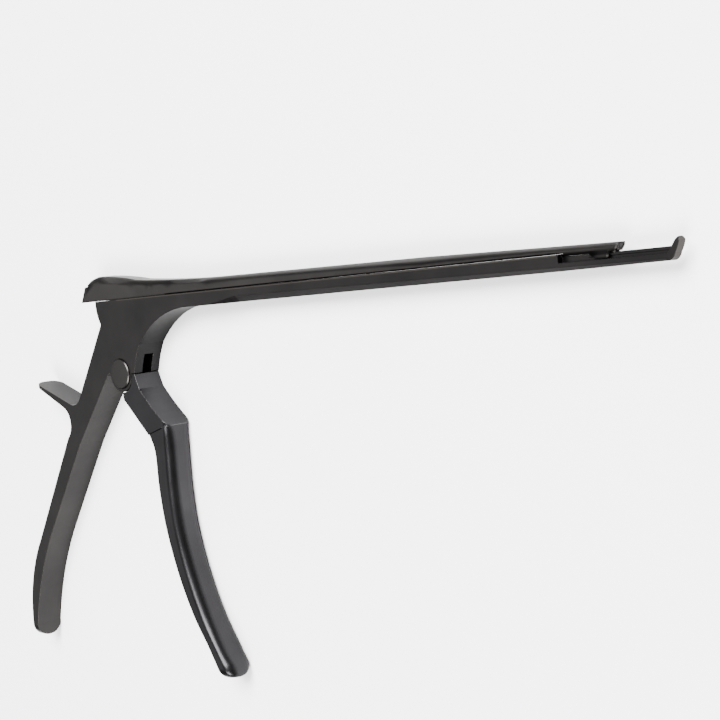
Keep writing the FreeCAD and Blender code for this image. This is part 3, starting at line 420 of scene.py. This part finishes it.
def smooth_line(points: Sequence[Spot], count: int) -> np.ndarray:
    """Carry a smooth line through a few points.

    Between two points the line is a cubic whose slope at each of them is half the step from
    its neighbour before to its neighbour after.

    Args:
        points: Points of the line.
        count: How many places are wanted on it.

    Returns:
        The places, one to a row.
    """
    knots = np.array(points)
    ends = np.vstack([2 * knots[0] - knots[1], knots, 2 * knots[-1] - knots[-2]])
    place = np.linspace(0, len(knots) - 1, count)
    first = np.minimum(place.astype(int), len(knots) - 2)
    t = (place - first)[:, None]
    a, b, c, d = (ends[first + step] for step in range(4))
    return 0.5 * (2 * b + (c - a) * t + (2 * a - 5 * b + 4 * c - d) * t ** 2
                  + (3 * b - a - 3 * c + d) * t ** 3)


def closed_surface(name: str, grid: np.ndarray, sharp: float) -> bpy.types.Object:
    """Make a closed surface of rings whose first and last ring have shrunk to a line or point.

    Args:
        name: Name of the piece.
        grid: Places in millimetres from the pivot, by ring and by place on the ring.
        sharp: Angle in degrees past which an edge stays sharp.

    Returns:
        The piece, in metres in the frame of the solids.
    """
    rings, round_count = grid.shape[:2]
    spots = (grid - np.array((0.0, DATUM_RISE, 0.0))).reshape(-1, 3) * MM
    ring, step = np.meshgrid(np.arange(rings - 1), np.arange(round_count), indexing="ij")
    after = (step + 1) % round_count
    quads = np.stack([ring * round_count + step, ring * round_count + after,
                      (ring + 1) * round_count + after, (ring + 1) * round_count + step], -1)
    mesh = bpy.data.meshes.new(name)
    mesh.from_pydata(spots.tolist(), [], quads.reshape(-1, 4).tolist())
    return finish_mesh(name, mesh, sharp)


def merged_copy(node: bpy.types.Object) -> bmesh.types.BMesh:
    """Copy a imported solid's loose triangles and merge their corners."""
    shape = bmesh.new()
    shape.from_mesh(node.data)
    bmesh.ops.remove_doubles(shape, verts=shape.verts, dist=WELD)
    return shape


def piece_of(name: str, shape: bmesh.types.BMesh, sharp: float) -> bpy.types.Object:
    """Make a piece of a merged copy, which is used up.

    Args:
        name: Name of the piece.
        shape: The merged copy.
        sharp: Angle in degrees past which an edge stays sharp.

    Returns:
        The piece.
    """
    mesh = bpy.data.meshes.new(name)
    shape.to_mesh(mesh)
    shape.free()
    return finish_mesh(name, mesh, sharp)


def rounded_copy(name: str, shape: bmesh.types.BMesh, sharp: float) -> bpy.types.Object:
    """Make a piece whose shallow edges are shaded as one round surface.

    Args:
        name: Name of the piece.
        shape: A merged copy, which is used up.
        sharp: Angle in degrees past which an edge stays sharp.

    Returns:
        The piece.
    """
    piece = piece_of(name, shape, sharp)
    weigh = piece.modifiers.new("even_shading", "WEIGHTED_NORMAL")
    weigh.keep_sharp = True
    return piece


def joined(name: str, base: bpy.types.Object, other: bpy.types.Object,
           sharp: float) -> bpy.types.Object:
    """Grow two overlapping pieces together into one closed piece.

    Args:
        name: Name of the new piece.
        base: First piece, which is removed.
        other: Second piece, which is removed.
        sharp: Angle in degrees past which an edge stays sharp.

    Returns:
        The new piece.
    """
    union = base.modifiers.new("union", "BOOLEAN")
    union.operation, union.solver, union.object = "UNION", "EXACT", other
    seen = bpy.context.evaluated_depsgraph_get()
    mesh = bpy.data.meshes.new_from_object(base.evaluated_get(seen))
    for piece in (base, other):
        bpy.data.objects.remove(piece)
    return finish_mesh(name, mesh, sharp)


def finish_mesh(name: str, mesh: bpy.types.Mesh, sharp: float) -> bpy.types.Object:
    """Merge doubles, turn the faces outwards and smooth all but the sharp edges.

    Args:
        name: Name of the piece.
        mesh: Its mesh.
        sharp: Angle in degrees past which an edge stays sharp.

    Returns:
        The piece, in the scene.
    """
    shape = bmesh.new()
    shape.from_mesh(mesh)
    bmesh.ops.remove_doubles(shape, verts=shape.verts, dist=WELD)
    bmesh.ops.dissolve_degenerate(shape, edges=shape.edges, dist=WELD / 2)
    bmesh.ops.recalc_face_normals(shape, faces=shape.faces)
    shape.to_mesh(mesh)
    shape.free()
    mesh.shade_smooth()
    mesh.set_sharp_from_angle(angle=math.radians(sharp))
    piece = bpy.data.objects.new(name, mesh)
    bpy.context.scene.collection.objects.link(piece)
    return piece


@dataclass
class SubAssembly:
    """Pieces of one body, and their finishes by node."""

    nodes: dict[str, Any] = field(default_factory=dict)
    body: str = ""

    def keep(self, piece: bpy.types.Object, finish: Any, slot: str,
             made: dict[str, bpy.types.Material], *stands_for: str) -> None:
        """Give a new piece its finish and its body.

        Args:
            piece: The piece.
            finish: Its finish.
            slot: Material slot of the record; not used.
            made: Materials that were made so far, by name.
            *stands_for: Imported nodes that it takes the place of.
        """
        if finish.name not in made:
            made[finish.name] = finish.build()
        piece.data.materials.clear()
        piece.data.materials.append(made[finish.name])
        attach(piece, self.body)
        if stands_for:
            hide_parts(*stands_for)
        LOG.info("%s rides on %s", piece.name, self.body)

    def add_pieces(self, frame: dict[str, Any], made: dict[str, bpy.types.Material]) -> None:
        """Add the fine pieces of this sub-assembly; most have none."""

    def dress(self, frame: dict[str, Any], made: dict[str, bpy.types.Material]) -> None:
        """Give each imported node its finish.

        Args:
            made: Materials that were made so far, by name.
        """
        for node, finish in self.nodes.items():
            if finish.name not in made:
                made[finish.name] = finish.build()
            for slot in frame["nodes"][node].material_slots:
                slot.material = made[finish.name]
            LOG.info("%s has the finish %s", node, finish.name)


@dataclass
class FixedHalf(SubAssembly):
    """Body, grip, lower shaft and footplate, with what is fixed in them."""

    nodes: dict[str, Any] = field(default_factory=lambda: {
        "frame": BODY_COAT, "pivot_pin": PIN_COAT, "pivot_screw": PIN_COAT,
        "return_spring": STEEL, "spring_screw": STEEL, "guide_stud": STEEL})
    body: str = "body"


@dataclass
class SlidingHalf(SubAssembly):
    """Upper shaft with its back, hook and cutting jaw.

    Attributes:
        lip_along: First and last station of the keel's lip, in millimetres.
        lip_rise: Foot and top of the lip above the pivot.
        lip_half: Half its width.
        lip_square: Power that squares the lip's section.
        cheek: Corners of the jaw's lower cheek, seen from the side.
        cheek_half: Half the cheek's width.
        cheek_pinch: Share of its size that the cheek loses towards its two sides.
        crisp: Angle in degrees past which an edge of the shaft stays sharp.
    """

    body: str = "upper"
    lip_along: Spot = (196.3, 205.0)
    lip_rise: Spot = (25.26, 26.15)
    lip_half: float = 0.58
    lip_square: float = 0.35
    cheek: tuple[Spot, ...] = ((210.9, 24.75), (211.8, 27.45), (214.2, 27.45), (212.15, 24.75))
    cheek_half: float = 0.95
    cheek_pinch: float = 0.3
    crisp: float = 24.0

    def add_pieces(self, frame: dict[str, Any], made: dict[str, bpy.types.Material]) -> None:
        """Add the shaft with round shading, its keel's lip and its jaw's cheek."""
        packed = frame["nodes"]["slider"]
        shaft = rounded_copy("slider_shaft", merged_copy(packed), self.crisp)
        self.keep(shaft, SLIDER_COAT, "coated_slider", made, "slider")
        for piece in (self.keel_lip(), self.jaw_cheek()):
            self.keep(piece, SLIDER_COAT, "coated_slider", made)

    def keel_lip(self) -> bpy.types.Object:
        """Make the lip of the keel, which closes the gap above the rail.

        Each ring is a squared oval: its height and width follow sin and cos, both raised to a
        small power. Along the shaft the rings lie by the square root of a sine, and their size
        is its cosine raised to 0.2, so both ends shrink to a point.

        Returns:
            The piece.
        """
        turn = np.linspace(0.0, 2 * math.pi, 24, endpoint=False)
        end = np.linspace(-math.pi / 2, math.pi / 2, 25)
        oval = [np.sign(part) * np.abs(part) ** self.lip_square
                for part in (np.cos(turn), np.sin(turn))]
        size = np.abs(np.cos(end)) ** 0.2
        reach = np.sign(np.sin(end)) * np.abs(np.sin(end)) ** 0.5
        middle = sum(self.lip_along) / 2 + reach * (self.lip_along[1] - self.lip_along[0]) / 2
        half = (self.lip_rise[1] - self.lip_rise[0]) / 2
        size[[0, -1]] = 0.0
        grid = np.stack([
            np.broadcast_to(middle[:, None], (len(end), len(turn))),
            sum(self.lip_rise) / 2 + half * size[:, None] * oval[1],
            BODY_WIDTH / 2 + self.lip_half * size[:, None] * oval[0]], -1)
        return closed_surface("keel_lip", grid, 60.0)

    def jaw_cheek(self) -> bpy.types.Object:
        """Make the cheek that closes the jaw below its cup.

        Its outline runs straight from corner to corner. Across the jaw the rings lie by the
        sine of the swing. Each is the outline drawn in towards its middle by the pinch times
        the square of 1 less the cosine, and the first and last are the middle itself.

        Returns:
            The piece.
        """
        corners = np.array(self.cheek)
        share = np.linspace(0.0, 1.0, 8, endpoint=False)[:, None]
        sides = [a + (b - a) * share for a, b in zip(corners, np.roll(corners, -1, axis=0))]
        outline = np.concatenate(sides)
        middle = outline.mean(axis=0)
        swing = np.radians(np.linspace(-90.0, 90.0, 15))
        size = 1.0 - self.cheek_pinch * (1.0 - np.cos(swing)) ** 2
        size[[0, -1]] = 0.0
        rings = middle + (outline - middle) * size[:, None, None]
        height = BODY_WIDTH / 2 + self.cheek_half * np.sin(swing)
        grid = np.dstack([rings, np.broadcast_to(height[:, None], rings.shape[:2])])
        return closed_surface("jaw_cheek", grid, 50.0)


@dataclass
class FingerLever(SubAssembly):
    """Moving front handle with its drive pin.

    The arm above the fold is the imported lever's own. Below it the handle is a surface of rings,
    each from a point of the rear line to one of the front line, with two broad roundings that
    leave a flat strip in the middle of the front, and it ends in a rounded thumb.

    Attributes:
        front: Points of the front line below the fold, in millimetres from the pivot.
        rear: Points of the rear line, one for each of them.
        broad: Depth and width of the front roundings.
        small: The same just under the fold.
        grow: Length over which they reach their size.
        overlap: Length by which the arm reaches into the handle.
        heel: Rounding of the rear edges.
        thumb: Length of the rounded end.
        fall: Direction in which the end points.
        blunt: Power that makes the end blunter than a round one.
        strip_edge: Angle in degrees at which a rounding meets the flat strip.
        crisp: Angle in degrees past which an edge stays sharp.
    """

    nodes: dict[str, Any] = field(default_factory=lambda: {"drive_pin": STEEL})
    body: str = "lever"
    front: tuple[Spot, ...] = (
        (23.55, -18.05), (23.8, -19.0), (23.7, -27.0), (23.3, -39.0), (24.2, -53.0),
        (27.9, -68.0), (33.6, -82.0), (40.1, -93.0), (43.5, -97.9))
    rear: tuple[Spot, ...] = (
        (12.5, -21.2), (12.95, -21.75), (15.15, -27.6), (15.25, -39.6), (16.9, -53.6),
        (21.2, -69.0), (27.2, -82.4), (33.6, -92.2), (37.6, -99.0))
    broad: Spot = (3.0, 3.6)
    small: Spot = (1.8, 2.4)
    grow: float = 1.8
    overlap: float = 0.3
    heel: float = 0.7
    thumb: float = 4.8
    fall: Spot = (0.42, -0.907)
    blunt: float = 0.8
    strip_edge: float = 20.0
    crisp: float = 9.0

    def add_pieces(self, frame: dict[str, Any], made: dict[str, bpy.types.Material]) -> None:
        """Add the arm and the handle, grown together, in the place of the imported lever."""
        arm = self.cut_arm(frame["nodes"]["finger_lever"])
        handle = closed_surface("lever_handle", self.handle_rings(), 8.0)
        lever = joined("lever_frame", arm, handle, self.crisp)
        self.keep(lever, LEVER_COAT, "coated_lever", made, "finger_lever")

    def cut_arm(self, node: bpy.types.Object) -> bpy.types.Object:
        """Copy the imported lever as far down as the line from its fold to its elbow.

        Args:
            node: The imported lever.

        Returns:
            The arm with the tongue and the pivot's eye, closed at the cut.
        """
        fold, elbow = (np.array(line[0]) for line in (self.front, self.rear))
        along = (fold - elbow) / np.linalg.norm(fold - elbow)
        shape = merged_copy(node)
        parts = list(shape.verts) + list(shape.edges) + list(shape.faces)
        normal = np.array([along[1], -along[0]])
        place = fold + self.overlap * normal
        bmesh.ops.bisect_plane(
            shape, geom=parts, dist=WELD / 2, clear_outer=True,
            plane_co=(place[0] * MM, (place[1] - DATUM_RISE) * MM, 0.0),
            plane_no=(*normal, 0.0))
        rim = [edge for edge in shape.edges if edge.is_boundary]
        bmesh.ops.holes_fill(shape, edges=rim)
        return piece_of("lever_arm", shape, self.crisp)

    def handle_rings(self) -> np.ndarray:
        """Rings of the handle, from the fold to the end of its thumb.

        A front rounding is the stretch of an ellipse from the strip's edge angle to 90 degrees,
        so that it runs smoothly into the side and meets the flat strip at a slight edge. Its
        depth and width grow from small to broad by 1 less the exponential of minus the length
        over grow. In the thumb each ring is the last one shrunk by cos and moved on by sin,
        both raised to the blunt power.

        Returns:
            Places by ring and by place on the ring.
        """
        front = smooth_line(self.front, 150)
        rear = smooth_line(self.rear, 150)
        width = np.linalg.norm(front - rear, axis=1)[:, None]
        along = (front - rear) / width
        run = np.linalg.norm(front - front[0], axis=1)[:, None]
        share = 1.0 - np.exp(-run / self.grow)
        deep, wide = (low + (high - low) * share for low, high in zip(self.small, self.broad))
        angle = np.radians(np.linspace(90.0, self.strip_edge, 20))
        inset = (math.cos(angle[-1]) - np.cos(angle)) / (math.cos(angle[-1]) - math.cos(angle[0]))
        lift = (np.sin(angle) - math.sin(angle[-1])) / (math.sin(angle[0]) - math.sin(angle[-1]))
        corner = np.radians(np.linspace(0.0, 90.0, 6))
        bow, sink = 1.0 - np.sin(corner), 1.0 - np.cos(corner)
        near_front = (width - deep * inset, BODY_WIDTH - wide + wide * lift)
        far_front = (width - deep * inset[::-1], wide - wide * lift[::-1])
        level = 0.0 * width
        far_rear = (self.heel * bow + level, self.heel * sink + level)
        near_rear = (self.heel * bow[::-1] + level, BODY_WIDTH - self.heel * sink[::-1] + level)
        reach, height = (np.hstack(parts)
                         for parts in zip(near_front, far_front, far_rear, near_rear))
        flat = rear[:, None, :] + along[:, None, :] * reach[:, :, None]
        rings = np.dstack([flat, height])
        last = rings[-1]
        middle = last.mean(axis=0)
        middle[2] = BODY_WIDTH / 2
        swing = np.radians(np.linspace(0.0, 90.0, 22))[1:, None, None]
        thumb = middle + (last - middle) * np.cos(swing).clip(0.0) ** self.blunt + (
            self.thumb * np.sin(swing) ** self.blunt) * np.array((*self.fall, 0.0))
        thumb[-1] = thumb[-1].mean(axis=0)
        start = rings[:1].copy()
        start[..., 2] = BODY_WIDTH / 2
        return np.concatenate([start, rings, thumb])


@dataclass(frozen=True)
class SoftBox:
    """Rectangular soft light.

    Attributes:
        name: Name of the light.
        place: Where it hangs.
        size: Its width and height.
        power: Its power in watts.
    """

    name: str
    place: Colour
    size: Spot
    power: float


@dataclass
class Studio:
    """Floor, light and camera.

    Attributes:
        turn: Turn of the view about the instrument's upright, in degrees.
        rise: Height of the view, in degrees.
        roll: Tilt of the picture, in degrees.
        place: Place of the camera, in metres.
        focal: Focal length in widths of the picture.
        centre: Optical centre, in shares of the picture from its left and top edges.
        film: Width of the camera's film, in millimetres.
        floor_half: Half the width of the floor.
        sky: Strength of the even light from all sides.
        aim: Place that every soft box points at.
        boxes: The soft boxes.
    """

    turn: float = 47.94
    rise: float = 1.64
    roll: float = 5.94
    place: tuple[float, float, float] = (0.43018, 0.01266, 0.29773)
    focal: float = 1466.2 / 720.0
    centre: tuple[float, float] = (330.4 / 720.0, 317.5 / 720.0)
    film: float = 36.0
    floor_half: float = 6.0
    sky: float = 0.35
    aim: tuple[float, float, float] = (0.06, -0.02, 0.0)
    boxes: tuple[SoftBox, ...] = (
        SoftBox("top_box", (0.5, 1.0, 1.5), (1.2, 1.2), 185.0),
        SoftBox("low_box", (0.6, -1.1, 1.4), (1.2, 1.0), 90.0),
        SoftBox("side_fill", (-1.0, 0.0, 0.95), (1.4, 1.4), 12.0))

    def axes(self) -> tuple[Vector, Vector, Vector]:
        """Axes of the picture.

        Returns:
            Right, up and towards the camera.
        """
        turn, rise, roll = (math.radians(v) for v in (self.turn, self.rise, self.roll))
        back = Vector((math.sin(turn) * math.cos(rise), math.sin(rise),
                       math.cos(turn) * math.cos(rise)))
        level = Vector((math.cos(turn), 0.0, -math.sin(turn)))
        upright = back.cross(level)
        right = math.cos(roll) * level - math.sin(roll) * upright
        up = math.sin(roll) * level + math.cos(roll) * upright
        return right, up, back

    def add_camera(self) -> None:
        """Put the camera where the photograph was taken from."""
        data = bpy.data.cameras.new("camera")
        data.sensor_width = self.film
        data.lens = self.focal * self.film
        data.shift_x = 0.5 - self.centre[0]
        data.shift_y = self.centre[1] - 0.5
        data.clip_start = 0.01
        camera = bpy.data.objects.new("camera", data)
        right, up, back = self.axes()
        turn = Matrix((right, up, back)).transposed().to_4x4()
        camera.matrix_world = Matrix.Translation(self.place) @ turn
        bpy.context.scene.collection.objects.link(camera)
        bpy.context.scene.camera = camera

    def add_floor(self) -> None:
        """Lay the pale floor under the instrument."""
        half = self.floor_half
        corners = [(-half, -half, 0.0), (half, -half, 0.0), (half, half, 0.0),
                   (-half, half, 0.0)]
        mesh = bpy.data.meshes.new("floor")
        mesh.from_pydata(corners, [], [(0, 1, 2, 3)])
        floor = bpy.data.objects.new("floor", mesh)
        bpy.context.scene.collection.objects.link(floor)
        shader = Shader("floor_paper")
        shader.surface.inputs["Base Color"].default_value = (0.93, 0.93, 0.93, 1.0)
        shader.surface.inputs["Roughness"].default_value = 0.9
        shader.surface.inputs["Specular IOR Level"].default_value = 0.1
        mesh.materials.append(shader.material)

    def add_light(self, box: SoftBox) -> None:
        """Add one soft box."""
        data = bpy.data.lights.new(box.name, "AREA")
        data.shape = "RECTANGLE"
        data.size, data.size_y = box.size
        data.energy = box.power
        lamp = bpy.data.objects.new(box.name, data)
        lamp.location = box.place
        towards = Vector(self.aim) - Vector(box.place)
        lamp.rotation_euler = towards.to_track_quat("-Z", "Y").to_euler()
        bpy.context.scene.collection.objects.link(lamp)

    def add_lights(self) -> None:
        """Light the studio softly from above and from the sides."""
        world = bpy.data.worlds.new("studio")
        world.use_nodes = True
        sky = world.node_tree.nodes["Background"]
        sky.inputs["Color"].default_value = (1.0, 1.0, 1.0, 1.0)
        sky.inputs["Strength"].default_value = self.sky
        bpy.context.scene.world = world
        for box in self.boxes:
            self.add_light(box)


def main() -> None:
    """Build the sub-assemblies in order and report each of them."""
    logging.basicConfig(level=logging.INFO, format="%(message)s")
    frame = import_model()
    made: dict[str, bpy.types.Material] = {}
    for part in (FixedHalf(), SlidingHalf(), FingerLever()):
        part.dress(frame, made)
        part.add_pieces(frame, made)
    studio = Studio()
    studio.add_floor()
    studio.add_lights()
    studio.add_camera()


if __name__ == "__main__":
    main()
